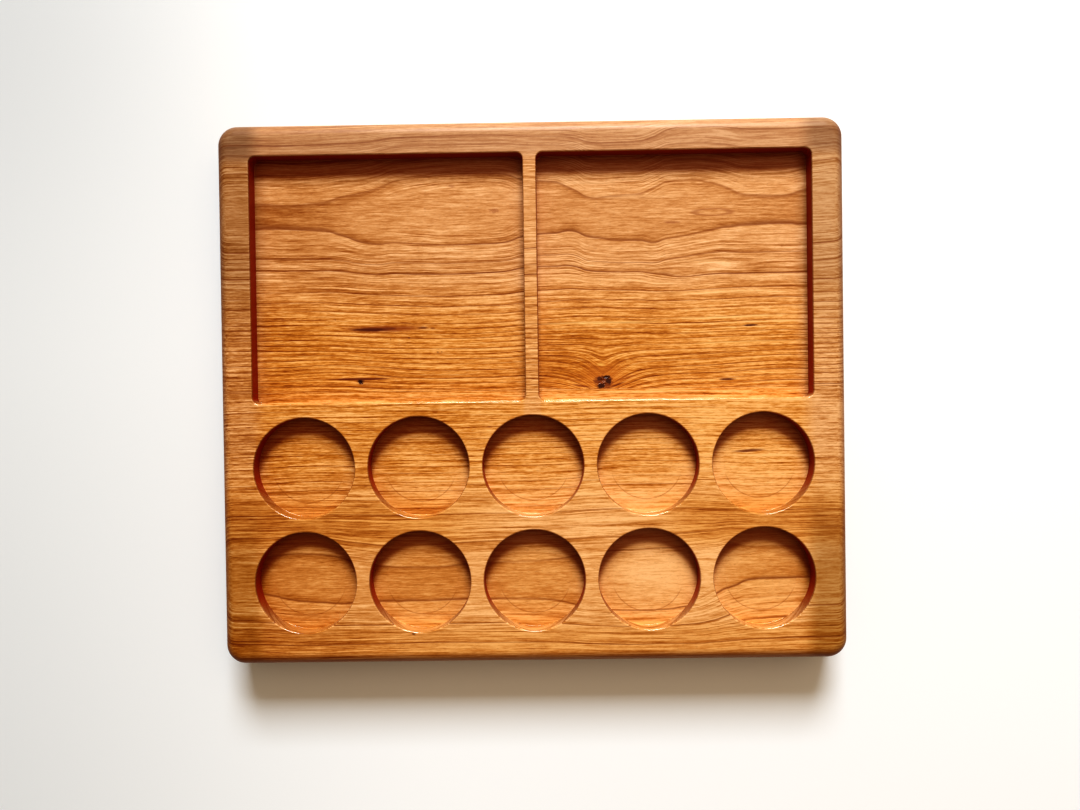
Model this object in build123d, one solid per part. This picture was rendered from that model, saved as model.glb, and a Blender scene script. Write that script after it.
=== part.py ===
from build123d import *
import os

# Coin display tray: one cherry blank, edge-glued from two boards, with two
# rectangular pockets at the back and ten round coin wells at the front.
# Millimetres. Origin at the middle of the underside, +X to the right along
# the long side and the grain, +Y towards the back (pocket) edge, +Z up.

# ---- driving dimensions ----------------------------------------------------
width = 295.275          # overall, along X (11 5/8 in)
depth = 255.5875         # overall, along Y (10 1/16 in)
thickness = 28.575  # 1 1/8 in, five-quarter stock planed

corner_r = 9.5           # plan radius of the four outer corners (3/8 in)
roundover_top = 6.35     # quarter-round along the outer top edge (1/4 in bit)
roundover_bottom = 3.175 # quarter-round along the outer underside edge (1/8 in)

recess = 7.9375          # depth of every pocket and well (5/16 in)
rim_ease = 0.7           # small round on the inner rims, from sanding

well_d = 47.625          # coin well diameter (1 7/8 in)
pitch = 53.975           # well spacing, both ways (2 1/8 in)
well_cols = 5
row_back_y = -34.6       # centre line of the back row of wells
row_front_y = row_back_y - pitch

bit_r = 3.175            # radius left in the pocket corners by a 1/4 in bit
divider = 6.35           # web between the two pockets
pocket_span = (well_cols - 1) * pitch + well_d   # both pockets and the divider
pocket_back_y = 112.3
pocket_front_y = -4.1

seam_y = 1.1             # plane of the edge joint between the two boards
glue_film = 0.1          # thickness of the cured glue line

# ---- derived ---------------------------------------------------------------
floor_z = thickness - recess
pocket_w = (pocket_span - divider) / 2
pocket_h = pocket_back_y - pocket_front_y
pocket_cx = (pocket_w + divider) / 2
pocket_cy = (pocket_back_y + pocket_front_y) / 2


def rounded_rect(w, d, r):
    # face in plan with rounded corners, centred on the current location
    return RectangleRounded(w, d, r)


# ---- blank -----------------------------------------------------------------
blank = extrude(rounded_rect(width, depth, corner_r), amount=thickness)
top_edges = blank.faces().sort_by(Axis.Z)[-1].edges()
blank = fillet(top_edges, radius=roundover_top)
bottom_edges = blank.faces().sort_by(Axis.Z)[0].edges()
blank = fillet(bottom_edges, radius=roundover_bottom)

# ---- pockets and wells, cut with a flat-bottomed bit -----------------------
well_centres = [
    ((i - (well_cols - 1) / 2) * pitch, y)
    for y in (row_back_y, row_front_y)
    for i in range(well_cols)
]

cuts = []
for sx in (-1, 1):
    prism = extrude(rounded_rect(pocket_w, pocket_h, bit_r), amount=recess + 2)
    cuts.append(Pos(sx * pocket_cx, pocket_cy, floor_z) * prism)
for cx, cy in well_centres:
    cuts.append(
        Pos(cx, cy, floor_z)
        * Cylinder(well_d / 2, recess + 2,
                   align=(Align.CENTER, Align.CENTER, Align.MIN))
    )
tray = blank
for c in cuts:
    tray = tray - c

# ease the rim of every pocket and well: the inner wires of the top face
top_face = tray.faces().filter_by(Axis.Z).sort_by(Axis.Z)[-1]
rims = [e for w in top_face.inner_wires() for e in w.edges()]
tray = fillet(rims, radius=rim_ease)

# ---- part the tray along the edge joint ------------------------------------
big = 400.0


def slab(y0, y1):
    return Pos(0, (y0 + y1) / 2, thickness / 2) * Box(big, y1 - y0, 4 * thickness)


y_front_side = seam_y - glue_film / 2
y_back_side = seam_y + glue_film / 2
front_board = tray & slab(-big, y_front_side)
rear_board = tray & slab(y_back_side, big)
glue_line = tray & slab(y_front_side, y_back_side)


def one_solid(shape):
    solids = shape.solids()
    assert len(solids) == 1, len(solids)
    return solids[0]


parts = {
    "rear_board": one_solid(rear_board),
    "front_board": one_solid(front_board),
    "glue_line": one_solid(glue_line),
}

os.makedirs("parts", exist_ok=True)
for name, solid in parts.items():
    export_step(solid, f"parts/{name}.step")
    bb = solid.bounding_box()
    print(name, round(solid.volume, 1), [round(v, 3) for v in (*bb.min, *bb.max)])
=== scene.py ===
import math

import bmesh
import bpy
import numpy as np
from mathutils import Matrix, Vector
from mathutils.geometry import delaunay_2d_cdt


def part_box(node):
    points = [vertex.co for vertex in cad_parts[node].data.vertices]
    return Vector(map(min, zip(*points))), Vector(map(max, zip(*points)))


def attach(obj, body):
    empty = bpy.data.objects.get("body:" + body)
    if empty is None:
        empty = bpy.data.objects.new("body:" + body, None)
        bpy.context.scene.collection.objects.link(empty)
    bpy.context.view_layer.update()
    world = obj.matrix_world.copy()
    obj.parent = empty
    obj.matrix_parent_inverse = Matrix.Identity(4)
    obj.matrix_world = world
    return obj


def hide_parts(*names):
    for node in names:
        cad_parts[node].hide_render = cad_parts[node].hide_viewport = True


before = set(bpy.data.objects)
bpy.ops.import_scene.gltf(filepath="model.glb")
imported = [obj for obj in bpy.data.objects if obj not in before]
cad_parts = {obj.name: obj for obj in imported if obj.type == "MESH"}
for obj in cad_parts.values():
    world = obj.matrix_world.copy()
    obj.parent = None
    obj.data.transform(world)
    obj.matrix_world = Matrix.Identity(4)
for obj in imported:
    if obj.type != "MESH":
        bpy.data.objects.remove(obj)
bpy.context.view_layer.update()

# ---------------------------------------------------------------------------
# Sizes, in millimetres, in the CAD frame. What the frame holds is read from it.
# ---------------------------------------------------------------------------
rear_box, front_box, glue_box = (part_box(n) for n in ("rear_board", "front_board", "glue_line"))
half_w = 500 * (rear_box[1][0] - rear_box[0][0])
y_back = 1000 * rear_box[1][1]
y_front = 1000 * front_box[0][1]
half_d = (y_back - y_front) / 2
T = 1000 * rear_box[1][2]
seam_lo = 1000 * glue_box[0][1]
seam_hi = 1000 * glue_box[1][1]

corner_r = 9.5
round_top = 6.35
round_bottom = 3.175
recess = 7.9375
floor_z = T - recess
rim_ease = 0.7
well_r = 47.625 / 2
pitch = 53.975
rows_y = (-34.6, -34.6 - pitch)
bit_r = 3.175
divider = 6.35
pocket_w = (4 * pitch + 2 * well_r - divider) / 2
pocket_back, pocket_front = 112.3, -4.1
pocket_cx = (pocket_w + divider) / 2
pocket_cy = (pocket_back + pocket_front) / 2
floor_fillet = 0.22
wells = [((i - 2) * pitch, y) for y in rows_y for i in range(5)]

# knots with a little missing wood: x, y, half length, half width, depth
PITS = [
    (33.3, 4.9, 1.5, 1.0, 0.55, 3.0),
    (35.3, 6.6, 1.0, 0.7, 0.40, 9.0),
    (34.6, 3.4, 1.1, 0.5, 0.35, 17.0),
    (31.9, 3.9, 0.8, 0.5, 0.25, 23.0),
    (-82.4, 6.0, 0.9, 0.55, 0.60, 31.0),
    (-81.6, 5.2, 0.55, 0.35, 0.35, 37.0),
]


# ---------------------------------------------------------------------------
# One closed surface for the whole tray, as rings of points, then cut at the joint
# ---------------------------------------------------------------------------
class Surface:
    def __init__(self):
        self.co, self.no, self.faces = [], [], []
        self.n = 0

    def add(self, co, no):
        co, no = np.asarray(co, float), np.asarray(no, float)
        at = np.arange(self.n, self.n + len(co))
        self.co.append(co)
        self.no.append(no)
        self.n += len(co)
        return at

    def bridge(self, a, b):
        """Quads between two closed rings with the same number of points."""
        a2, b2 = np.roll(a, -1), np.roll(b, -1)
        self.faces.append(np.stack([a, a2, b2, b], 1))

    def tris(self, t):
        self.faces.append(np.asarray(t, int))

    def arrays(self):
        return np.concatenate(self.co), np.concatenate(self.no)


def side(n, a, b):
    """n steps from a to b, without b."""
    return np.linspace(a, b, n, endpoint=False)


def rect_ring(cx, cy, hx, hy, r, step, arc):
    """A rounded rectangle, anticlockwise: centres of curvature, directions and the ring at radius r.
    Offsetting the ring only changes the radius, so rings match point for point."""
    ax, ay = hx - r, hy - r
    nx, ny = max(int(round(2 * ax / step)), 2), max(int(round(2 * ay / step)), 2)
    cen, ang = [], []
    for sx, sy, a0 in ((1, 1, 0), (-1, 1, 90), (-1, -1, 180), (1, -1, 270)):
        for t in side(arc, a0, a0 + 90):
            cen.append((sx * ax, sy * ay))
            ang.append(t)
        end = a0 + 90
        if sx == 1 and sy == 1:
            for x in side(nx, ax, -ax):
                cen.append((x, ay)); ang.append(end)
        elif sx == -1 and sy == 1:
            for y in side(ny, ay, -ay):
                cen.append((-ax, y)); ang.append(end)
        elif sx == -1 and sy == -1:
            for x in side(nx, -ax, ax):
                cen.append((x, -ay)); ang.append(end)
        else:
            for y in side(ny, -ay, ay):
                cen.append((ax, y)); ang.append(end)
    cen = np.array(cen) + (cx, cy)
    ang = np.radians(ang)
    return cen, np.stack([np.cos(ang), np.sin(ang)], 1), r


def lift(cen, d, rad, z, out, up):
    """Points at distance rad along d from cen, at height z, with normal out*d + up*z."""
    n = len(cen)
    co = np.column_stack([cen + d * rad, np.full(n, z)])
    no = np.column_stack([d * out, np.full(n, up)])
    return co, no


def fill(surf, loops, z, normal_up, steiner):
    """Triangles between an outer ring and any inner rings, through extra points."""
    co, _ = surf.arrays()
    pts, idx, edges = [], [], []
    for loop in loops:
        k = len(pts)
        pts += [tuple(co[i, :2]) for i in loop]
        idx += list(loop)
        edges += [(k + j, k + (j + 1) % len(loop)) for j in range(len(loop))]
    if len(steiner):
        new = surf.add(np.column_stack([steiner, np.full(len(steiner), z)]),
                       np.tile((0, 0, normal_up), (len(steiner), 1)))
        pts += [tuple(p) for p in steiner]
        idx += list(new)
    v, _, f, orig, _, _ = delaunay_2d_cdt([Vector(p) for p in pts], edges, [], 0, 1e-7)
    back = [idx[o[0]] for o in orig]
    tri = np.array([[back[i] for i in t] for t in f])
    mid = co_of(surf)[tri][:, :, :2].mean(1)
    keep = inside(mid, co_of(surf)[loops[0]][:, :2])
    for loop in loops[1:]:
        keep &= ~inside(mid, co_of(surf)[loop][:, :2])
    tri = tri[keep]
    if normal_up < 0:
        tri = tri[:, ::-1]
    surf.tris(tri)


def co_of(surf):
    return np.concatenate(surf.co)


def inside(p, poly):
    """Even-odd test of points against a polygon."""
    x, y = p[:, 0][:, None], p[:, 1][:, None]
    ax, ay = poly[:, 0], poly[:, 1]
    bx, by = np.roll(ax, -1), np.roll(ay, -1)
    cross = (ay > y) != (by > y)
    with np.errstate(divide="ignore", invalid="ignore"):
        at = (bx - ax) * (y - ay) / (by - ay) + ax
    return (np.sum(cross & (x < at), axis=1) % 2) == 1


def grid_points(x0, x1, y0, y1, step):
    nx, ny = max(int((x1 - x0) / step), 1), max(int((y1 - y0) / step), 1)
    x, y = np.linspace(x0, x1, nx + 1), np.linspace(y0, y1, ny + 1)
    g = np.stack(np.meshgrid(x, y), -1)
    g[1::2, :, 0] += (x1 - x0) / nx * 0.5
    return g.reshape(-1, 2)


def far_from(pts, ring, gap):
    out = np.ones(len(pts), bool)
    for k in range(0, len(pts), 2000):
        d = np.linalg.norm(pts[k:k + 2000, None] - ring[None], axis=2).min(1)
        out[k:k + 2000] = d > gap
    return out


surf = Surface()

# outer wall: flat underside edge, small round, side, large round, top edge
cen, d, r0 = rect_ring(0, (y_back + y_front) / 2, half_w, half_d, corner_r, 1.6, 20)
prof = []
for a in np.linspace(0, math.pi / 2, 9):
    prof.append((round_bottom * (1 - math.sin(a)), round_bottom * (1 - math.cos(a)), math.sin(a), -math.cos(a)))
for z in np.linspace(round_bottom, T - round_top, 9)[1:-1]:
    prof.append((0.0, z, 1.0, 0.0))
for a in np.linspace(0, math.pi / 2, 19):
    prof.append((round_top * (1 - math.cos(a)), T - round_top + round_top * math.sin(a), math.cos(a), math.sin(a)))
rings = [surf.add(*lift(cen, d, r0 - inset, z, out, up)) for inset, z, out, up in prof]
for a, b in zip(rings, rings[1:]):
    surf.bridge(a, b)
under_ring, top_ring = rings[0], rings[-1]


def recess_profile():
    """(distance outwards from the wall, height, normal outwards, normal up), from the rim to the floor."""
    out = []
    for a in np.linspace(0, math.pi / 2, 8):
        out.append((rim_ease * (1 - math.sin(a)), T - rim_ease * (1 - math.cos(a)), -math.sin(a), math.cos(a)))
    for z in np.linspace(T - rim_ease, floor_z + floor_fillet, 6)[1:-1]:
        out.append((0.0, z, -1.0, 0.0))
    for a in np.linspace(0, math.pi / 2, 5):
        out.append((-floor_fillet * (1 - math.cos(a)), floor_z + floor_fillet * (1 - math.sin(a)), -math.cos(a), math.sin(a)))
    return out


rim_rings = []
floor_rings = []
for sx in (-1, 1):
    cen, d, r0 = rect_ring(sx * pocket_cx, pocket_cy, pocket_w / 2, (pocket_back - pocket_front) / 2, bit_r, 1.6, 14)
    rings = [surf.add(*lift(cen, d, r0 + o, z, out, up)) for o, z, out, up in recess_profile()]
    for a, b in zip(rings, rings[1:]):
        surf.bridge(b, a)
    # bridge order keeps the faces looking out of the wood
    surf.faces[-len(rings) + 1:] = [f[:, ::-1] for f in surf.faces[-len(rings) + 1:]]
    rim_rings.append(rings[0])
    floor_rings.append(rings[-1])

# wells: the cutter's inner pass leaves the middle of the floor a hair higher
steps = [(17.05, 0.060, 0.16), (10.9, 0.020, 0.14)]
well_seg = 160
ang = np.linspace(0, 2 * math.pi, well_seg, endpoint=False)
circle = np.stack([np.cos(ang), np.sin(ang)], 1)
radii = sorted(
    set(np.round(np.concatenate([
        np.linspace(1.2, well_r - floor_fillet - 0.6, 18),
        *[r + w * np.linspace(-2.4, 2.4, 11) for r, _, w in steps],
    ]), 4)), reverse=True)
for k, (cx, cy) in enumerate(wells):
    cen = np.tile((cx, cy), (well_seg, 1))
    rings = [surf.add(*lift(cen, circle, well_r + o, z, out, up)) for o, z, out, up in recess_profile()]
    for r in radii:
        dz = sum(h * 0.5 * (1 - math.tanh((r - at) / w)) for at, h, w in steps)
        slope = sum(-h * 0.5 / w / math.cosh((r - at) / w) ** 2 for at, h, w in steps)
        ln = math.hypot(1, slope)
        rings.append(surf.add(*lift(cen, circle, r, floor_z + dz, -slope / ln, 1 / ln)))
    for a, b in zip(rings, rings[1:]):
        surf.bridge(a, b)
    hub = surf.add([(cx, cy, floor_z + sum(h for _, h, _ in steps))], [(0, 0, 1)])[0]
    last = rings[-1]
    surf.tris(np.stack([last, np.roll(last, -1), np.full(len(last), hub)], 1))
    rim_rings.append(rings[0])

# flat faces
co = co_of(surf)
g = grid_points(-half_w + 8, half_w - 8, y_front + 8, y_back - 8, 3.0)
ok = np.ones(len(g), bool)
for ring in rim_rings:
    ok &= ~inside(g, co[ring][:, :2])
g = g[ok]
g = g[far_from(g, np.concatenate([co[r][:, :2] for r in rim_rings] + [co[top_ring][:, :2]]), 1.3)]
fill(surf, [top_ring, *rim_rings], T, 1, g)

g = grid_points(-half_w + 6, half_w - 6, y_front + 6, y_back - 6, 6.0)
g = g[far_from(g, co[under_ring][:, :2], 1.5)]
fill(surf, [under_ring], 0.0, -1, g)


def hash2(i, j, seed):
    n = np.sin(i * 127.1 + j * 311.7 + seed * 74.7) * 43758.5453
    return n - np.floor(n)


def value_noise(x, y, seed):
    xi, yi = np.floor(x), np.floor(y)
    fx, fy = x - xi, y - yi
    fx, fy = fx * fx * (3 - 2 * fx), fy * fy * (3 - 2 * fy)
    a = hash2(xi, yi, seed) * (1 - fx) + hash2(xi + 1, yi, seed) * fx
    b = hash2(xi, yi + 1, seed) * (1 - fx) + hash2(xi + 1, yi + 1, seed) * fx
    return a * (1 - fy) + b * fy


def pit_depth(x, y):
    """How far the floor is sunk by missing wood in the knots."""
    out = np.zeros_like(x)
    for px, py, hx, hy, depth, seed in PITS:
        wob = 0.55 * (value_noise(x * 1.7, y * 1.7, seed) - 0.5) + 0.35 * (value_noise(x * 4.1, y * 4.1, seed + 1) - 0.5)
        q = np.hypot((x - px) / hx, (y - py) / hy) + wob
        t = np.clip((1.0 - q) / 0.55, 0, 1)
        out = np.maximum(out, depth * t * t * (3 - 2 * t))
    return out


for sx, ring in zip((-1, 1), floor_rings):
    x0, x1 = sorted((sx * divider / 2, sx * (divider / 2 + pocket_w)))
    g = grid_points(x0 + 1.5, x1 - 1.5, pocket_front + 1.5, pocket_back - 1.5, 3.0)
    g = g[far_from(g, co[ring][:, :2], 1.0)]
    fine = []
    for px, py in ((33.8, 4.6), (-82.2, 5.7)):
        if x0 < px < x1:
            q = grid_points(px - 4.0, px + 4.0, py - 2.9, py + 3.6, 0.16)
            fine.append(q)
            g = g[(abs(g[:, 0] - px) > 4.6) | (abs(g[:, 1] - py - 0.35) > 3.9)]
    fill(surf, [ring], floor_z, 1, np.concatenate([g, *fine]))

co, no = surf.arrays()
on_floor = (abs(co[:, 2] - floor_z) < 1e-6) & (no[:, 2] > 0.999) & (co[:, 1] > pocket_front)
x, y = co[on_floor, 0], co[on_floor, 1]
h = pit_depth(x, y)
e = 0.02
gx = (pit_depth(x + e, y) - pit_depth(x - e, y)) / (2 * e)
gy = (pit_depth(x, y + e) - pit_depth(x, y - e)) / (2 * e)
co[on_floor, 2] -= h
nn = np.column_stack([gx, gy, np.ones_like(gx)])
no[on_floor] = nn / np.linalg.norm(nn, axis=1)[:, None]


def whole_tray():
    verts = [tuple(v) for v in co * 0.001]
    faces = [tuple(int(i) for i in f) for block in surf.faces for f in block]
    me = bpy.data.meshes.new("tray_blank")
    me.from_pydata(verts, [], faces)
    at = me.attributes.new("surface_normal", "FLOAT_VECTOR", "POINT")
    at.data.foreach_set("vector", no.astype(np.float32).ravel())
    return me


def part_of(name, blank, lo=None, hi=None):
    """The tray between two planes across Y, closed at the cuts, as one object."""
    bm = bmesh.new()
    bm.from_mesh(blank)
    cut_faces = []
    for y, sign in ((lo, -1), (hi, 1)):
        if y is None:
            continue
        bmesh.ops.bisect_plane(
            bm, geom=bm.verts[:] + bm.edges[:] + bm.faces[:], dist=1e-7,
            plane_co=(0, y * 0.001, 0), plane_no=(0, sign, 0), clear_outer=True)
        rim = [e for e in bm.edges if e.is_boundary and all(abs(v.co.y - y * 0.001) < 2e-6 for v in e.verts)]
        got = bmesh.ops.triangle_fill(bm, use_beauty=True, use_dissolve=False, edges=rim, normal=(0, sign, 0))
        cut_faces += [f for f in got["geom"] if isinstance(f, bmesh.types.BMFace)]
    bm.faces.index_update()
    cut = {f.index for f in cut_faces}
    want = {f.index: f for f in cut_faces}
    for f in cut_faces:
        f.normal_update()
        s = 1 if (hi is not None and abs(f.calc_center_median().y - hi * 0.001) < 1e-5) else -1
        if f.normal.y * s < 0:
            f.normal_flip()
    bad = [e for e in bm.edges if len(e.link_faces) != 2]
    print(name, "faces", len(bm.faces), "open or doubled edges", len(bad))
    me = bpy.data.meshes.new(name)
    bm.to_mesh(me)
    bm.free()
    nv = np.empty(len(me.vertices) * 3, np.float32)
    me.attributes["surface_normal"].data.foreach_get("vector", nv)
    nv = nv.reshape(-1, 3)
    nv /= np.maximum(np.linalg.norm(nv, axis=1), 1e-9)[:, None]
    loop_v = np.empty(len(me.loops), np.int32)
    me.loops.foreach_get("vertex_index", loop_v)
    normals = nv[loop_v]
    for p in me.polygons:
        if p.index in cut:
            s = 1.0 if (hi is not None and abs(p.center.y - hi * 0.001) < 1e-5) else -1.0
            normals[p.loop_start:p.loop_start + p.loop_total] = (0.0, s, 0.0)
    me.attributes.remove(me.attributes["surface_normal"])
    me.polygons.foreach_set("use_smooth", np.ones(len(me.polygons), bool))
    me.normals_split_custom_set(normals.tolist())
    me.update()
    ob = bpy.data.objects.new(name, me)
    bpy.context.scene.collection.objects.link(ob)
    return ob


blank = whole_tray()
rear = part_of("rear_board_wood", blank, lo=seam_hi)
front = part_of("front_board_wood", blank, hi=seam_lo)
glue = part_of("glue_line_film", blank, lo=seam_lo, hi=seam_hi)
bpy.data.meshes.remove(blank)


# ---------------------------------------------------------------------------
# Shader arithmetic: a socket or a number, with + - * / and a few functions
# ---------------------------------------------------------------------------
class V:
    tree = None

    def __init__(self, s):
        self.s = s

    @staticmethod
    def node(kind, **props):
        n = V.tree.nodes.new(kind)
        for k, v in props.items():
            setattr(n, k, v)
        return n

    @staticmethod
    def put(socket, value):
        if isinstance(value, V):
            V.tree.links.new(value.s, socket)
        else:
            socket.default_value = value

    @staticmethod
    def math(op, a, b=None, c=None, clamp=False):
        n = V.node("ShaderNodeMath", operation=op, use_clamp=clamp)
        for i, x in enumerate((a, b, c)):
            if x is not None:
                V.put(n.inputs[i], x)
        return V(n.outputs[0])

    def __add__(self, o): return V.math("ADD", self, o)
    __radd__ = __add__
    def __sub__(self, o): return V.math("SUBTRACT", self, o)
    def __rsub__(self, o): return V.math("SUBTRACT", o, self)
    def __mul__(self, o): return V.math("MULTIPLY", self, o)
    __rmul__ = __mul__
    def __truediv__(self, o): return V.math("DIVIDE", self, o)
    def __rtruediv__(self, o): return V.math("DIVIDE", o, self)
    def __neg__(self): return V.math("MULTIPLY", self, -1.0)


def f_sqrt(a): return V.math("SQRT", a)
def f_exp(a): return V.math("EXPONENT", a)
def f_abs(a): return V.math("ABSOLUTE", a)
def f_fract(a): return V.math("FRACT", a)
def f_floor(a): return V.math("FLOOR", a)
def f_min(a, b): return V.math("MINIMUM", a, b)
def f_max(a, b): return V.math("MAXIMUM", a, b)
def f_pow(a, b): return V.math("POWER", a, b)
def f_clamp(a): return V.math("ADD", a, 0.0, clamp=True)


def ramp(x, a, b, to0=0.0, to1=1.0, smooth=True):
    """to0 below a, to1 above b, smooth between."""
    n = V.node("ShaderNodeMapRange", interpolation_type="SMOOTHSTEP" if smooth else "LINEAR", clamp=True)
    V.put(n.inputs["Value"], x)
    for k, v in (("From Min", a), ("From Max", b), ("To Min", to0), ("To Max", to1)):
        V.put(n.inputs[k], v)
    return V(n.outputs["Result"])


def curve(x, pts, smooth=False):
    """A function of x drawn through points; the first and last points are its range."""
    lo, hi = pts[0][0], pts[-1][0]
    v0, v1 = min(p[1] for p in pts), max(p[1] for p in pts)
    n = V.node("ShaderNodeFloatCurve")
    n.mapping.extend = "HORIZONTAL"
    c = n.mapping.curves[0]
    loc = [((p - lo) / (hi - lo), (q - v0) / (v1 - v0)) for p, q in pts]
    c.points[0].location, c.points[1].location = loc[0], loc[-1]
    for p in loc[1:-1]:
        c.points.new(*p)
    for p in c.points:
        p.handle_type = "AUTO" if smooth else "VECTOR"
    n.mapping.update()
    n.inputs["Factor"].default_value = 1.0
    V.put(n.inputs["Value"], (x - lo) * (1.0 / (hi - lo)))
    return V(n.outputs[0]) * (v1 - v0) + v0


def vec(x, y, z):
    n = V.node("ShaderNodeCombineXYZ")
    for i, v in enumerate((x, y, z)):
        V.put(n.inputs[i], v)
    return V(n.outputs[0])


def noise(p, detail=2.0, rough=0.5, scale=1.0, distort=0.0, w=None):
    """Noise from 0 to 1, 0.5 in the middle."""
    n = V.node("ShaderNodeTexNoise", noise_dimensions="3D")
    V.put(n.inputs["Vector"], p)
    n.inputs["Scale"].default_value = scale
    n.inputs["Detail"].default_value = detail
    n.inputs["Roughness"].default_value = rough
    n.inputs["Distortion"].default_value = distort
    return V(n.outputs["Fac"])


def white(x, seed):
    n = V.node("ShaderNodeTexWhiteNoise", noise_dimensions="2D")
    V.put(n.inputs["Vector"], vec(x, seed, 0.0))
    return V(n.outputs["Value"])


def mix(fac, a, b):
    n = V.node("ShaderNodeMix", data_type="RGBA", blend_type="MIX", clamp_factor=True)
    V.put(n.inputs["Factor"], fac)
    V.put(n.inputs["A"] if False else n.inputs[6], a if isinstance(a, V) else (*a, 1.0))
    V.put(n.inputs[7], b if isinstance(b, V) else (*b, 1.0))
    return V(n.outputs[2])


def gain(col, k):
    n = V.node("ShaderNodeVectorMath", operation="SCALE")
    V.put(n.inputs[0], col)
    V.put(n.inputs["Scale"], k)
    return V(n.outputs[0])


def color_ramp(fac, stops):
    n = V.node("ShaderNodeValToRGB")
    e = n.color_ramp.elements
    e[0].position, e[0].color = stops[0][0], (*stops[0][1], 1)
    e[1].position, e[1].color = stops[-1][0], (*stops[-1][1], 1)
    for p, c in stops[1:-1]:
        e.new(p).color = (*c, 1)
    V.put(n.inputs[0], fac)
    return V(n.outputs[0])


# Surface colour that reads as the given display colour in the open light of this set-up
SHOWN = (0, 4, 8, 16, 24, 32, 48, 64, 80, 96, 112, 128, 144, 160, 176, 192, 208, 224, 240, 255)
LIGHT = (0.0, 0.0070, 0.0115, 0.0190, 0.0277, 0.0373, 0.0574, 0.0804, 0.1077, 0.1365, 0.1687, 0.2028, 0.2399,
         0.2786, 0.3236, 0.3688, 0.4181, 0.4712, 0.5278, 0.5940)
OPEN_LIGHT = 0.70


def shown(r, g, b):
    return tuple(float(np.interp(c, SHOWN, LIGHT)) / OPEN_LIGHT for c in (r, g, b))


def blob(X, Y, x, y, hx, hy, wob=None, tilt=0.0, soft=0.6):
    """A soft spot, 1 in the middle and 0 outside an ellipse; wob makes its edge uneven."""
    dx, dy = X - x, Y - y
    if tilt:
        dy = dy - dx * tilt
    q = f_sqrt((dx / hx) * (dx / hx) + (dy / hy) * (dy / hy))
    if wob is not None:
        q = q + wob
    return ramp(q, 1.0 - soft, 1.0, 1.0, 0.0)


# Growth rings of the two boards. The heart of the log lies a little above the top
# face, so rims cut younger rings than floors do. For each ring edge: its distance from the
# heart, how dark its line is, and how dark the wood just inside it is.
RINGS = {
    "rear": [
        (5.0, 0.0, 0.0), (11.0, 0.0, 0.0), (15.0, 0.0, 0.0), (24.3, 0.85, 0.40),
        (31.0, 0.62, 0.35), (35.0, 1.00, 0.70), (43.9, 0.70, 0.60), (48.4, 0.70, 0.30), (52.0, 0.60, 0.35),
        (56.0, 0.60, 0.40), (58.3, 0.70, 0.50), (60.6, 0.55, 0.30), (62.7, 0.65, 0.45), (65.0, 0.50, 0.50),
        (67.4, 0.70, 0.35), (69.8, 0.55, 0.55), (72.1, 0.75, 0.40), (74.4, 0.60, 0.60), (77.3, 0.70, 0.50),
        (79.2, 0.45, 0.40), (80.9, 0.80, 0.60), (83.5, 0.60, 0.45), (86.0, 0.85, 0.60), (88.1, 0.60, 0.40),
        (90.6, 0.7, 0.5), (92.9, 0.6, 0.4), (95.4, 0.7, 0.5), (98.0, 0.6, 0.4)],
    "front": [
        (5.0, 0.0, 0.0), (11.0, 0.0, 0.0), (15.0, 0.0, 0.0), (25.4, 0.85, 0.25),
        (29.2, 0.22, 0.40), (34.4, 0.75, 0.50), (40.4, 0.45, 0.45), (47.0, 0.75, 0.45), (50.7, 0.50, 0.35),
        (54.3, 0.45, 0.45), (57.2, 0.65, 0.50), (59.9, 0.50, 0.35), (62.4, 0.60, 0.50), (65.0, 0.50, 0.40),
        (67.5, 0.70, 0.55), (70.1, 0.50, 0.40), (72.8, 0.60, 0.55), (75.3, 0.65, 0.35), (77.9, 0.50, 0.50),
        (80.4, 0.70, 0.40), (83.1, 0.50, 0.55), (85.7, 0.60, 0.40), (88.3, 0.60, 0.50), (90.9, 0.6, 0.4),
        (93.5, 0.6, 0.4), (96.2, 0.6, 0.5), (99.0, 0.6, 0.4)],
}
# how far the heart line lies above the top face, and where it runs, along the board
HEART_UP = {
    "rear": [(-150, 15.3), (-116, 15.6), (-103, 15.4), (-91, 14.5), (-81, 13.2), (-64, 11.1), (-50, 9.9), (-36, 9.2),
             (-19, 9.5), (-4, 12.1), (4, 12.8), (12, 13.2), (27, 14.4), (40, 13.8), (52, 13.5), (65, 12.1), (75, 12.3),
             (85, 13.2), (95, 14.4), (105, 15.2), (119, 15.4), (130, 14.9), (150, 14.4)],
    "front": [(-150, 15.8), (-130, 15.6), (-105, 14.6), (-85, 15.4), (-56, 16.2), (-30, 15.8), (0, 15.6), (28, 13.2),
              (55, 12.2), (70, 12.6), (86, 14.4), (97, 15.4), (106, 16.2), (150, 16.2)],
}
HEART_Y = {
    "rear": [(-150, 85.6), (-130, 85.6), (-116, 85.0), (-91, 85.4), (-81, 84.8), (-64, 87.1), (-36, 87.7), (-4, 88.0),
             (12, 87.9), (27, 83.6), (40, 82.4), (52, 82.6), (65, 85.7), (75, 86.9), (85, 87.7), (95, 86.9),
             (105, 85.8), (119, 85.7), (130, 86.5), (150, 88.5)],
    "front": [(-150, -86.5), (-125, -87.2), (-105, -88.0), (-85, -90.0), (-56, -91.3), (-30, -90.5), (0, -90.0),
              (28, -90.8), (55, -91.0), (70, -89.8), (84, -87.2), (100, -83.6), (150, -81.8)],
}
HEART_MEAN = {"rear": 86.4, "front": -87.0}


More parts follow.
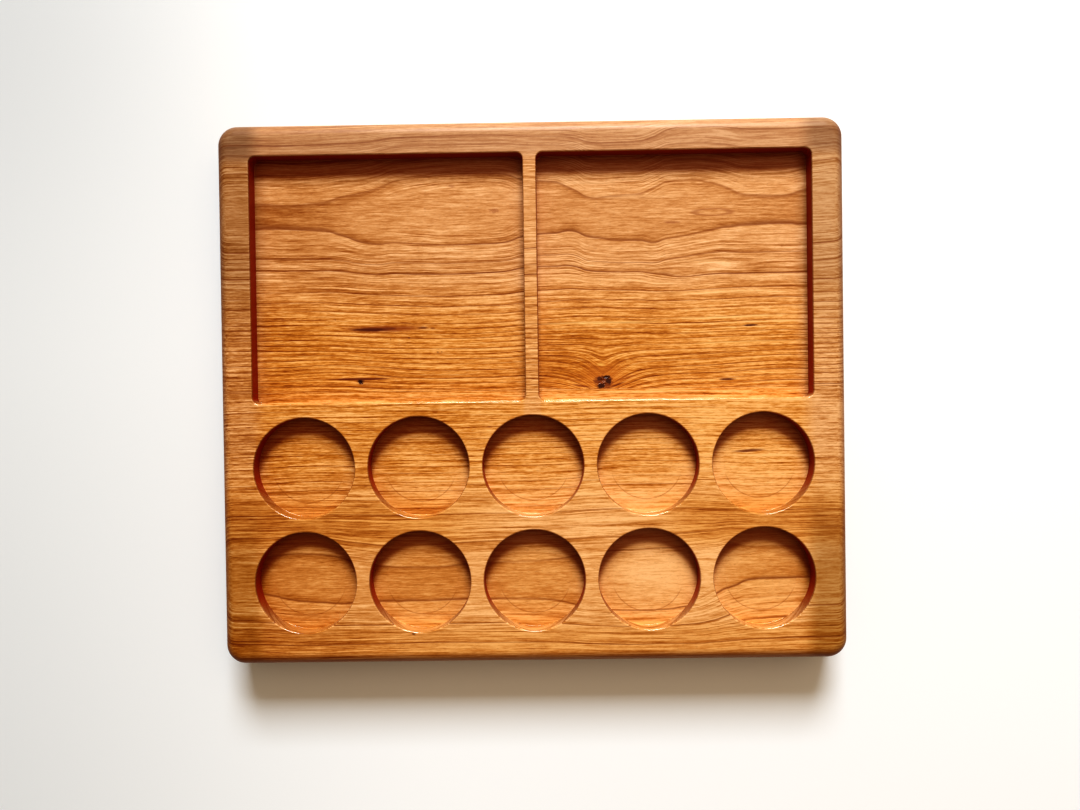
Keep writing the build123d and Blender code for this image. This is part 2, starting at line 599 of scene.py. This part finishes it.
def cherry(name, side_name):
    """Oiled cherry: one 3-D field of growth rings for the board, so rims, walls, floors and
    end grain all cut the same rings."""
    m = bpy.data.materials.new(name)
    m.use_nodes = True
    V.tree = m.node_tree
    V.tree.nodes.clear()
    out = V.node("ShaderNodeOutputMaterial")
    bsdf = V.node("ShaderNodeBsdfPrincipled")
    V.tree.links.new(bsdf.outputs[0], out.inputs[0])
    tc = V.node("ShaderNodeTexCoord")
    sep = V.node("ShaderNodeSeparateXYZ")
    sc = V.node("ShaderNodeVectorMath", operation="SCALE")
    V.tree.links.new(tc.outputs["Object"], sc.inputs[0])
    sc.inputs["Scale"].default_value = 1000.0
    V.tree.links.new(sc.outputs[0], sep.inputs[0])
    X, Y, Z = (V(sep.outputs[i]) for i in range(3))
    rear_side = side_name == "rear"
    s = 0.0 if rear_side else 310.0

    # --- the ring field ------------------------------------------------------
    Yg = Y
    knot_y = 4.3 + (floor_z - Z) * 0.35
    if rear_side:
        # grain swept down towards the knot, and a small lift over the pin knot
        ax = f_sqrt((X - 33.8) * (X - 33.8) + 6.0) - 2.45
        near = f_exp(-f_pow(f_max(ax, 0.0) / 12.5, 1.15))
        up = (Y - knot_y + 1.3) / 14.5
        Yg = Yg + near * 10.5 * f_exp(-(up * up))
        px, py = (X + 90.0) / 24.0, (Y - 11.0) / 6.5
        Yg = Yg - 2.0 * f_exp(-(px * px)) * f_exp(-(py * py))
    # the heart wanders; rings further out do not follow it
    mean = HEART_MEAN[side_name]
    u = Yg - mean - (curve(X, HEART_Y[side_name], smooth=True) - mean) * ramp(f_abs(Y - mean), 44.0 if rear_side else 33.0, 19.0 if rear_side else 12.0)
    v = T - Z + curve(X, HEART_UP[side_name], smooth=True)
    R = f_sqrt(u * u + v * v)
    if rear_side:
        q = (R - 38.2) / 3.4
        R = R - 3.6 * f_exp(-(q * q)) * ramp(X, 48.0, 76.0)
    wave = (noise(vec(X / 70.0 + s, Y / 34.0, Z / 34.0), 2.0, 0.5) - 0.5)
    wave2 = (noise(vec(X / 21.0 + s + 40.0, Y / 9.0, Z / 9.0), 2.0, 0.5) - 0.5)
    wave3 = (noise(vec(X / 6.0 + s, Y / 2.2, Z / 2.2), 2.0, 0.5) - 0.5)
    Rw = R + wave * (0.5 + R * 0.026) + wave2 * (0.34 + R * 0.003) + wave3 * 0.12
    rings = RINGS[side_name]
    edges = [(r, float(i)) for i, (r, _, _) in enumerate(rings)]
    P = curve(Rw, edges)
    width = 0.3 / (curve(Rw + 0.15, edges) - curve(Rw - 0.15, edges))
    f, ident = f_fract(P), f_floor(P)
    before, after = (1.0 - f) * width, f * width
    strong = [(float(i), w) for i, (_, w, _) in enumerate(rings)]
    toned = [(float(i), t) for i, (_, _, t) in enumerate(rings)]
    s_next, s_last, tone = curve(ident + 1.0, strong), curve(ident, strong), curve(ident + 1.0, toned)
    steep = f_abs(u) / R

    # --- late wood lines: a slow rise, then a sharp edge ------------------------
    along = noise(vec(X / 46.0 + s, ident * 3.7, 0.0), 2.0, 0.5)
    along2 = noise(vec(X / 46.0 + s, ident * 3.7 - 3.7, 0.0), 2.0, 0.5)
    vary, vary2 = ramp(along, 0.28, 0.60, 0.45, 1.0), ramp(along2, 0.28, 0.60, 0.45, 1.0)
    core = ramp(before / (s_next * 0.80 + 0.35), 0.62, 0.10) * s_next * vary
    tail = ramp(after, 0.20, 0.0) * s_last * vary2
    line = f_max(core, tail)
    if rear_side:
        line = line * ramp(u, -2.0, 7.0, 1.0, 0.55) * (1.0 - near * ramp(Y, 7.0, 11.0) * ramp(Y, 30.0, 20.0) * 0.75)
    else:
        line = line * (1.0 - ramp(u, -1.0, 5.0) * (ramp(X, 74.0, 92.0) * 0.45 + 0.35))
    halo = ramp(before, 2.2, 0.2) * s_next * vary
    shade = ramp(f, 0.30, 1.0) * tone

    # --- streaks along the rings, fibres, flecks and pores ------------------------
    streak = noise(vec(X / 80.0 + s, Rw / 0.90, s), 2.0, 0.6)
    streak2 = noise(vec(X / 34.0 + s + 5.0, Rw / 0.36, s), 2.0, 0.6)
    fib1 = noise(vec(X / 15.0, Y / 0.80 + s, Z / 0.80), 2.0, 0.6)
    fib2 = noise(vec(X / 2.8, Y / 0.40 + s, Z / 0.40), 2.0, 0.6)
    fleck = noise(vec(X / 5.5 + 9.0, Y / 0.65 + s, Z / 0.65), 2.0, 0.6)
    pale = noise(vec(X / 55.0 + s + 3.0, Rw / 0.50, s + 8.0), 2.0, 0.6)
    cloud = noise(vec(X / 46.0 + s, Y / 15.0, Z / 15.0), 3.0, 0.55)
    cloud2 = noise(vec(X / 13.0 + s + 7.0, Y / 3.4, Z / 3.4), 3.0, 0.55)
    pore = noise(vec(X / 1.7 + 31.0, Y / 0.20 + s, Z / 0.20), 1.0, 0.5)

    gold = [
        (0.00, (0.200, 0.038, 0.002)), (0.18, (0.300, 0.086, 0.004)), (0.34, (0.400, 0.146, 0.013)),
        (0.50, (0.505, 0.212, 0.034)), (0.66, (0.605, 0.284, 0.071)), (0.82, (0.705, 0.385, 0.135)),
        (1.00, (0.820, 0.500, 0.222))]
    pink = [
        (0.00, (0.210, 0.052, 0.005)), (0.18, (0.310, 0.108, 0.019)), (0.34, (0.405, 0.176, 0.048)),
        (0.50, (0.500, 0.245, 0.088)), (0.66, (0.600, 0.325, 0.142)), (0.82, (0.705, 0.425, 0.220)),
        (1.00, (0.810, 0.520, 0.295))]
    inner = (ramp(f_abs(X), half_w - 8.0, half_w - 10.0) * ramp(Y, y_back - 8.0, y_back - 10.0)
             * ramp(Y, y_front + 8.0, y_front + 10.0))
    low = ramp(Z, floor_z + 2.0, floor_z + 1.0) * ramp(Z, floor_z - 1.4, floor_z - 1.0) * inner
    # t climbs towards +X: painted light, the tray lit more strongly on its right
    t = 0.690 + X * 0.0008 + ramp(f_abs(X), 140.0, 100.0) * ramp(Y, 70.0, 10.0) * 0.09
    if rear_side:
        t = t - low * (ramp(X, 30.0, 60.0) * 0.06 + 0.015 + blob(X, Y, 22.0, 16.0, 40.0, 26.0, soft=1.0) * 0.20)
    else:
        t = t + low * (blob(X, Y, 60.0, -75.0, 50.0, 70.0, soft=1.0) * 0.13 - ramp(X, -50.0, -110.0) * 0.02)
        t = t - (1.0 - low) * (ramp(Y, -106.0, -114.0) * ramp(f_abs(X + 20.0), 30.0, 80.0) * ramp(X, -60.0, -100.0, 0.10, 0.15) + ramp(f_abs(Y + 61.5), 14.0, 6.0) * ramp(f_abs(X), 60.0, 85.0) * ramp(X, -1.0, 1.0, 0.10, 0.17))
        t = t + blob(X, Y, 81.0, -20.0, 14.0, 22.0, soft=1.0) * 0.12 + low * blob(X, Y, -54.0, -36.0, 26.0, 26.0, soft=1.0) * 0.07
    t = t + (cloud - 0.5) * 0.36 + (cloud2 - 0.5) * 0.22 - shade * 0.17
    # younger wood near the heart is pinker and calmer, older wood more golden
    young = ramp(Rw, 62.0, 30.0)
    flat = ramp(steep, 0.25, 0.75)
    t = t + (streak - 0.5) * flat * 0.85 + (streak2 - 0.5) * (0.06 + flat * 1.30)
    t = t + (fib1 - 0.5) * 0.75 + ((fib2 - 0.5) * 0.92 + (fleck - 0.5) * 0.72) * (1.0 - young * 0.42)
    t = t + ramp(pale, 0.54, 0.66) * flat * (0.23 if rear_side else 0.32) - halo * 0.20
    side = ramp(f_abs(X), 124.0, 134.0)
    # painted sheen: the side rims and the top of the divider are mixed towards the paler pink ramp
    painted_rim_sheen = f_max(side * ramp(Y, -70.0, -20.0) * 0.80, ramp(f_abs(X), 5.0, 3.0) * (1.0 - low) * 0.55)
    col = mix(f_max(young if rear_side else young * (0.55 - side * ramp(Y, -50.0, -90.0) * 0.50), painted_rim_sheen), color_ramp(t, gold), color_ramp(t, pink))
    # painted shade: the side rims are dimmed, more towards their back and front ends
    k = 1.0 - side * (ramp(X, -1.0, 1.0, 0.0, 0.06) + ramp(Y, 10.0, 60.0) * ramp(X, -1.0, 1.0, 0.28, 0.20) + ramp(Y, -40.0, -85.0) * ramp(X, -1.0, 1.0, 0.26, 0.30))
    if rear_side:
        # painted sheen and shade on the back roundover: mixed towards a pale pink, then dimmed
        back = ramp(Y, 107.0, 114.0) * ramp(Z, T - 6.0, T - 3.0)
        col = mix(back * 0.35, col, (0.640, 0.385, 0.250))
        k = k - back * ramp(X, -90.0, 0.0, 0.24, 0.18)
    col = gain(col, k)
    # pitch near the knots has made the wood deeper gold; on the front board, where there is no knot, the web, the
    # front-row floors, the right rim's front and the front edge are made deeper gold and darker, painted shade where
    # the sheen is weaker towards the front
    if rear_side:
        pitch_gold_and_front_shade = f_max(ramp(Y, 44.0, 6.0) * ramp(X, -110.0, -50.0, 0.50, 0.22),
                     blob(X, Y, 30.0, 7.0, 40.0, 20.0, soft=1.0) * 1.0)
    else:
        pitch_gold_and_front_shade = ramp(f_abs(Y + 61.5), 16.0, 6.0) * f_max(ramp(X, 0.0, -60.0) * 0.80, ramp(X, 40.0, 80.0) * 0.75) + low * ramp(Y, -68.0, -76.0) * (1.0 - blob(X, Y, 54.0, -88.0, 34.0, 34.0, soft=1.0)) * 0.40 + side * ramp(Y, -66.0, -90.0) * ramp(X, -1.0, 1.0) * 0.30 + ramp(Y, -106.0, -114.0) * 0.55
    tint = V.node("ShaderNodeVectorMath", operation="MULTIPLY")
    V.put(tint.inputs[0], col)
    tint.inputs[1].default_value = (0.90, 0.80, 0.52)
    col = mix(pitch_gold_and_front_shade * (low if rear_side else 1.0), col, V(tint.outputs[0]))
    col = mix(line * 0.84, col, (0.215, 0.060, 0.009))
    col = mix(ramp(pore, 0.64, 0.76) * 0.40, col, (0.200, 0.055, 0.009))

    # --- marks that this board has -------------------------------------------
    wob = (noise(vec(X / 1.5, Y / 1.0 + s, Z / 2.0), 3.0, 0.65) - 0.5) * 1.5
    wobl = (noise(vec(X / 6.0, Y / 0.7 + s, Z / 2.0), 3.0, 0.65) - 0.5) * 1.6
    marks = []
    if rear_side:
        dy = Y - knot_y + 4.3
        kx = X + (dy - 4.3) * 0.25
        glow_k = blob(X, dy, 34.5, 7.0, 17.0, 9.5, wobl * 0.5, soft=1.0)
        col = mix(glow_k * 0.62, col, shown(186, 92, 20))
        marks += [
            (blob(X, dy, 34.1, 4.5, 4.9, 4.1, wob, soft=0.40), 0.90, shown(104, 36, 8)),
            (blob(X, dy, 35.6, 6.7, 2.2, 1.0, wob * 0.7, soft=0.4), 0.95, shown(34, 8, 4)),
            (blob(X, dy, 36.4, 4.8, 1.5, 1.8, wob * 0.7, soft=0.4), 0.95, shown(38, 9, 4)),
            (blob(X, dy, 32.2, 5.8, 1.5, 1.2, wob * 0.8, soft=0.5), 0.88, shown(58, 18, 6)),
            (blob(X, dy, 32.9, 2.5, 2.2, 1.4, wob * 0.7, soft=0.4), 0.95, shown(34, 8, 4)),
            (blob(X, dy, 34.3, 4.7, 1.0, 1.3, wob * 0.5, soft=0.7), 0.70, shown(150, 96, 66)),
            (blob(X, dy, 40.3, 2.8, 5.4, 0.75, wobl * 0.2, tilt=0.36, soft=0.8), 0.90, shown(78, 10, 1)),
            (blob(X, dy, 46.0, 6.4, 6.5, 0.75, wobl * 0.2, tilt=0.30, soft=0.8), 0.70, shown(128, 44, 4)),
            (blob(X, dy, 23.5, 2.6, 7.5, 0.70, wobl * 0.2, tilt=-0.16, soft=0.8), 0.85, shown(104, 26, 3)),
            (blob(X, dy, 19.5, 5.6, 9.0, 0.55, wobl * 0.2, tilt=-0.20, soft=0.8), 0.60, shown(140, 56, 6)),
            (blob(X, dy, 32.8, 12.7, 2.8, 1.0, wob * 0.5, soft=0.9), 0.55, shown(240, 184, 84)),
            (blob(X, Y, 34.0, 32.7, 46.0, 1.0, wobl * 0.5, tilt=0.006, soft=0.9), 0.55, shown(255, 206, 122)),
            (blob(X, Y, 96.0, 34.6, 44.0, 0.8, wobl * 0.5, tilt=0.010, soft=0.9), 0.50, shown(255, 200, 120)),
            (blob(X, Y, 102.0, 22.6, 40.0, 0.9, wobl * 0.5, tilt=0.012, soft=0.9), 0.45, shown(255, 198, 110)),
            (blob(X, Y, 90.0, 46.5, 44.0, 1.0, wobl * 0.5, tilt=0.008, soft=0.9), 0.40, shown(252, 196, 122)),
            (blob(X, Y, 84.0, 61.4, 16.0, 1.6, wobl * 0.6, soft=0.9), 0.35, shown(250, 196, 130)),
            (blob(X, Y, 48.0, 92.5, 26.0, 1.8, wobl * 0.6, tilt=-0.01, soft=0.9), 0.35, shown(250, 196, 136)),
            (blob(X, Y, 26.0, 99.5, 22.0, 1.6, wobl * 0.6, tilt=-0.02, soft=0.9), 0.40, shown(250, 196, 136)),
            (blob(X, Y, -80.0, 4.6, 7.0, 2.6, wobl * 0.5, soft=1.0), 0.45, shown(150, 70, 12)),
            (blob(X, Y, -82.5, 7.35, 19.0, 0.80, wobl * 0.25, soft=0.6), 0.95, shown(80, 14, 2)),
            (blob(X, Y, -82.4, 6.1, 2.2, 1.6, wob * 0.9, soft=0.5), 0.94, shown(66, 20, 4)),
            (blob(X, Y, -82.4, 6.0, 1.3, 1.0, wob, soft=0.4), 0.97, shown(20, 6, 4)),
            (blob(X, Y, -70.0, 31.2, 26.0, 2.5, wobl * 0.5, tilt=0.012, soft=0.8), 0.85, shown(124, 42, 5)),
            (blob(X, Y, -77.2, 30.9, 12.0, 1.15, wobl * 0.35, soft=0.6), 0.95, shown(62, 10, 3)),
            (blob(X, Y, -68.0, 31.3, 4.2, 0.9, wobl * 0.4, soft=0.6), 0.80, shown(92, 28, 8)),
            (blob(X, Y, -52.0, 31.5, 3.2, 0.7, wob * 0.6, soft=0.7), 0.80, shown(92, 34, 10)),
            (blob(X, Y, -47.3, 31.2, 1.4, 0.5, wob * 0.6, soft=0.7), 0.70, shown(100, 40, 12)),
            (blob(X, Y, -17.2, 86.8, 3.2, 1.5, wob, soft=0.8), 0.62, shown(140, 66, 24)),
            (blob(X, Y, 67.7, 80.1, 5.0, 1.0, wob, soft=0.8), 0.6, shown(140, 68, 28)),
            (blob(X, Y, -37.3, 98.8, 2.6, 1.0, wob, soft=0.8), 0.5, shown(150, 78, 34)),
            (blob(X, Y, 104.3, 30.5, 4.6, 0.70, wob * 0.35, tilt=0.03, soft=0.6), 0.95, shown(62, 14, 4)),
            (blob(X, Y, 93.0, 4.9, 5.2, 0.65, wob * 0.35, soft=0.6), 0.95, shown(60, 12, 4)),
            (blob(X, Y, -45.1, 19.7, 0.8, 0.5, wob * 0.5, soft=0.7), 0.7, shown(110, 50, 16)),
            (blob(X, Y, -43.2, 19.8, 0.6, 0.5, wob * 0.5, soft=0.7), 0.7, shown(110, 50, 16)),
            (blob(X, Y, -58.7, 26.8, 0.8, 0.5, wob * 0.5, soft=0.7), 0.85, shown(96, 36, 12)),
            (blob(X, Y, -67.6, 26.2, 0.3, 0.9, wob * 0.5, soft=0.7), 0.6, shown(120, 56, 16)),
            (blob(X, Y, -94.0, 35.9, 0.5, 0.5, wob * 0.5, soft=0.7), 0.6, shown(110, 50, 16)),
        ]
        # a small closed ring where the crest only just reaches the surface
        eye = f_sqrt(((X - 87.0) / 8.2) * ((X - 87.0) / 8.2) + ((Y - 84.6) / 1.5) * ((Y - 84.6) / 1.5)) + wobl * 0.15
        marks.append((ramp(eye, 0.70, 1.0) * ramp(eye, 1.05, 1.45, 1.0, 0.0), 0.55, shown(146, 74, 30)))
    else:
        marks += [
            (blob(X, Y, 103.0, -29.4, 10.5, 1.0, wobl * 0.5, tilt=0.05, soft=0.8), 0.90, shown(84, 24, 4)),
            (blob(X, Y, -57.6, -113.2, 1.2, 0.65, wob, soft=0.6), 0.85, shown(90, 38, 14)),
            (blob(X, Y, 60.5, -76.5, 0.8, 1.5, wob * 0.5, soft=0.7), 0.55, shown(242, 180, 110)),
        ]
    for mask, amount, c in marks:
        col = mix(mask * amount, col, c)

    # --- where the cutter's last pass went round, and painted shadow on the floors by the back walls ---
    on_floor = ramp(Z, floor_z + 1.0, floor_z + 0.5) * low
    if rear_side:
        painted_back_shadow = ramp(Y, 102.5, 106.0)
    else:
        cx = f_floor(X / pitch + 0.5) * pitch
        cy = f_floor((Y - rows_y[0]) / pitch + 0.5) * pitch + rows_y[0]
        ddx, ddy = X - cx, Y - cy
        rr = f_sqrt(ddx * ddx + ddy * ddy)
        arcs = ramp(f_abs(rr - 17.2), 0.34, 0.08) * ramp(ddy, -4.0, -11.0) * ramp(Y, -5.0, -8.0)
        col = mix(arcs * on_floor * 0.36, col, (0.300, 0.095, 0.010))
        rd = f_sqrt(ddx * ddx + (ddy + 8.5) * (ddy + 8.5))
        painted_back_shadow = ramp(rd, 22.8, 25.8) * ramp(Y, -5.0, -8.0)
    # painted shadow: the floors just in front of the back walls of the pockets and the wells are made dark red
    col = mix(painted_back_shadow * on_floor * 0.66, col, (0.280, 0.045, 0.002))

    # --- end grain soaks up more oil; painted shade on the outer front face and on the recess walls ---
    geo = V.node("ShaderNodeNewGeometry")
    nsep = V.node("ShaderNodeSeparateXYZ")
    V.tree.links.new(geo.outputs["Normal"], nsep.inputs[0])
    Nx, Ny, Nz = (V(nsep.outputs[i]) for i in range(3))
    end = ramp(f_abs(Nx), 0.20, 0.90)
    col = mix(end * 0.55, col, (0.150, 0.034, 0.006))
    # painted shade on the outer front face, which faces away from the light
    painted_front_face_shade = ramp(Ny, -0.12, -0.75) * ramp(Y, y_front + 8.0, y_front + 6.0)
    col = mix(painted_front_face_shade * 0.62, col, (0.190, 0.042, 0.003))
    in_recess = (ramp(f_abs(X), half_w - 8.0, half_w - 10.0) * ramp(Z, T - 0.25, T - 1.2)
                 * ramp(Y, y_back - 8.0, y_back - 10.0) * ramp(Y, y_front + 8.0, y_front + 10.0))
    # painted shade: recess walls, except those facing the back light, are made a deep red-brown
    wall = ramp(f_abs(Nz), 0.85, 0.45) * ramp(Ny, 0.75, 0.20) * in_recess
    col = mix(wall * 0.90, col, (0.390, 0.037, 0.003))

    V.put(bsdf.inputs["Base Color"], col)
    # the finish is glossier on the eased edges and where it has pooled at the foot of the walls
    glossy = ramp(f_abs(Nz), 0.985, 0.93) * ramp(f_abs(Nz), 0.10, 0.30) * inner
    rough = 0.44 + (fib1 - 0.5) * 0.16 + (cloud - 0.5) * 0.08 + line * 0.05 + end * 0.08
    rough = rough - glossy * 0.28
    V.put(bsdf.inputs["Roughness"], rough)
    bsdf.inputs["IOR"].default_value = 1.45
    V.put(bsdf.inputs["Specular IOR Level"], 0.30 + glossy * 0.60)
    bsdf.inputs["Coat Weight"].default_value = 0.08
    bsdf.inputs["Coat Roughness"].default_value = 0.30
    bsdf.inputs["Coat IOR"].default_value = 1.5

    height = (fib1 - 0.5) * 0.5 + (fib2 - 0.5) * 0.35 - line * 0.5 - ramp(pore, 0.64, 0.78) * 0.9
    b1 = V.node("ShaderNodeBump")
    b1.inputs["Strength"].default_value = 0.35
    b1.inputs["Distance"].default_value = 0.00006
    V.put(b1.inputs["Height"], height)
    V.tree.links.new(b1.outputs[0], bsdf.inputs["Normal"])
    return m


def glue_material():
    m = bpy.data.materials.new("cured_glue")
    m.use_nodes = True
    V.tree = m.node_tree
    V.tree.nodes.clear()
    out = V.node("ShaderNodeOutputMaterial")
    bsdf = V.node("ShaderNodeBsdfPrincipled")
    V.tree.links.new(bsdf.outputs[0], out.inputs[0])
    tc = V.node("ShaderNodeTexCoord")
    mp = V.node("ShaderNodeMapping")
    V.tree.links.new(tc.outputs["Object"], mp.inputs["Vector"])
    mp.inputs["Scale"].default_value = (300.0, 2500.0, 900.0)
    n = noise(V(mp.outputs[0]), 3.0, 0.6)
    col = mix(ramp(n, 0.35, 0.70), shown(128, 70, 34), shown(96, 46, 20))
    V.put(bsdf.inputs["Base Color"], col)
    V.put(bsdf.inputs["Roughness"], 0.42 + (n - 0.5) * 0.2)
    b = V.node("ShaderNodeBump")
    b.inputs["Strength"].default_value = 0.3
    b.inputs["Distance"].default_value = 0.00004
    V.put(b.inputs["Height"], n)
    V.tree.links.new(b.outputs[0], bsdf.inputs["Normal"])
    return m


rear.data.materials.append(cherry("cherry_rear_board", "rear"))
front.data.materials.append(cherry("cherry_front_board", "front"))
glue.data.materials.append(glue_material())
for ob, node, slot in ((rear, "rear_board", "cherry_rear"), (front, "front_board", "cherry_front"), (glue, "glue_line", "wood_glue")):
    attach(ob, "root")
    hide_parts(node)

# ---------------------------------------------------------------------------
# Floor, light and camera
# ---------------------------------------------------------------------------
scene = bpy.context.scene
me = bpy.data.meshes.new("floor")
me.from_pydata([(-3, -3, 0), (3, -3, 0), (3, 3, 0), (-3, 3, 0)], [], [(0, 1, 2, 3)])
floor = bpy.data.objects.new("floor", me)
floor.location.z = -0.0002
scene.collection.objects.link(floor)
fm = bpy.data.materials.new("pale_floor")
fm.use_nodes = True
V.tree = fm.node_tree
fb = fm.node_tree.nodes["Principled BSDF"]
tc = V.node("ShaderNodeTexCoord")
fsep = V.node("ShaderNodeSeparateXYZ")
V.tree.links.new(tc.outputs["Object"], fsep.inputs[0])
fx, fy = V(fsep.outputs[0]), V(fsep.outputs[1])
# painted light falloff: the floor is darker to the left and towards the back left
V.put(fb.inputs["Base Color"], gain(mix(ramp(fx, -0.34, -0.02), (0.665, 0.69, 0.70), (0.84, 0.86, 0.87)),
                                    1.0 - ramp(fx, -0.02, -0.26) * ramp(fy, 0.0, 0.22) * 0.14))
fb.inputs["Roughness"].default_value = 0.55
floor.data.materials.append(fm)


def area(name, loc, target, size, size_y, power, color):
    li = bpy.data.lights.new(name, "AREA")
    li.shape = "RECTANGLE"
    li.size, li.size_y = size, size_y
    li.energy = power
    li.color = color
    ob = bpy.data.objects.new(name, li)
    ob.location = loc
    ob.rotation_euler = (Vector(target) - Vector(loc)).to_track_quat("-Z", "Y").to_euler()
    scene.collection.objects.link(ob)
    return ob


area("window", (0.135, 3.34, 2.53), (0, 0, 0), 1.60, 1.34, 151.0, (0.84, 0.915, 1.0))
area("room", (0.35, 0.50, 1.30), (0, 0, 0), 1.2, 1.2, 4.0, (1.0, 0.76, 0.52))
world = bpy.data.worlds.new("studio")
scene.world = world
world.use_nodes = True
world.node_tree.nodes["Background"].inputs[0].default_value = (1.0, 0.80, 0.59, 1)
world.node_tree.nodes["Background"].inputs[1].default_value = 0.205
scene.view_settings.view_transform = "Standard"
scene.view_settings.look = "Very High Contrast"

cam_data = bpy.data.cameras.new("camera")
cam_data.sensor_fit = "HORIZONTAL"
cam_data.sensor_width = 36.0
cam_data.lens = 811.0 / 1080.0 * 36.0
cam_data.clip_start, cam_data.clip_end = 0.01, 20.0
cam = bpy.data.objects.new("camera", cam_data)
scene.collection.objects.link(cam)
rx, ry, rz = 1.11309897e-02, 8.57085235e-03, -1.38625014e-02
Rx = np.array([[1, 0, 0], [0, math.cos(rx), -math.sin(rx)], [0, math.sin(rx), math.cos(rx)]])
Ry = np.array([[math.cos(ry), 0, math.sin(ry)], [0, 1, 0], [-math.sin(ry), 0, math.cos(ry)]])
Rz = np.array([[math.cos(rz), -math.sin(rz), 0], [math.sin(rz), math.cos(rz), 0], [0, 0, 1]])
Rm = Rx @ Ry @ Rz
right = (Rm[0, 0], -Rm[0, 1], -Rm[0, 2])
up = (-Rm[1, 0], Rm[1, 1], Rm[1, 2])
back = (-Rm[2, 0], Rm[2, 1], Rm[2, 2])
cpos = (0.0069, -0.0020, 0.001 * T + 0.3803)
cam.matrix_world = Matrix((
    (right[0], up[0], back[0], cpos[0]),
    (right[1], up[1], back[1], cpos[1]),
    (right[2], up[2], back[2], cpos[2]),
    (0, 0, 0, 1)))
scene.camera = cam

bpy.context.view_layer.update()
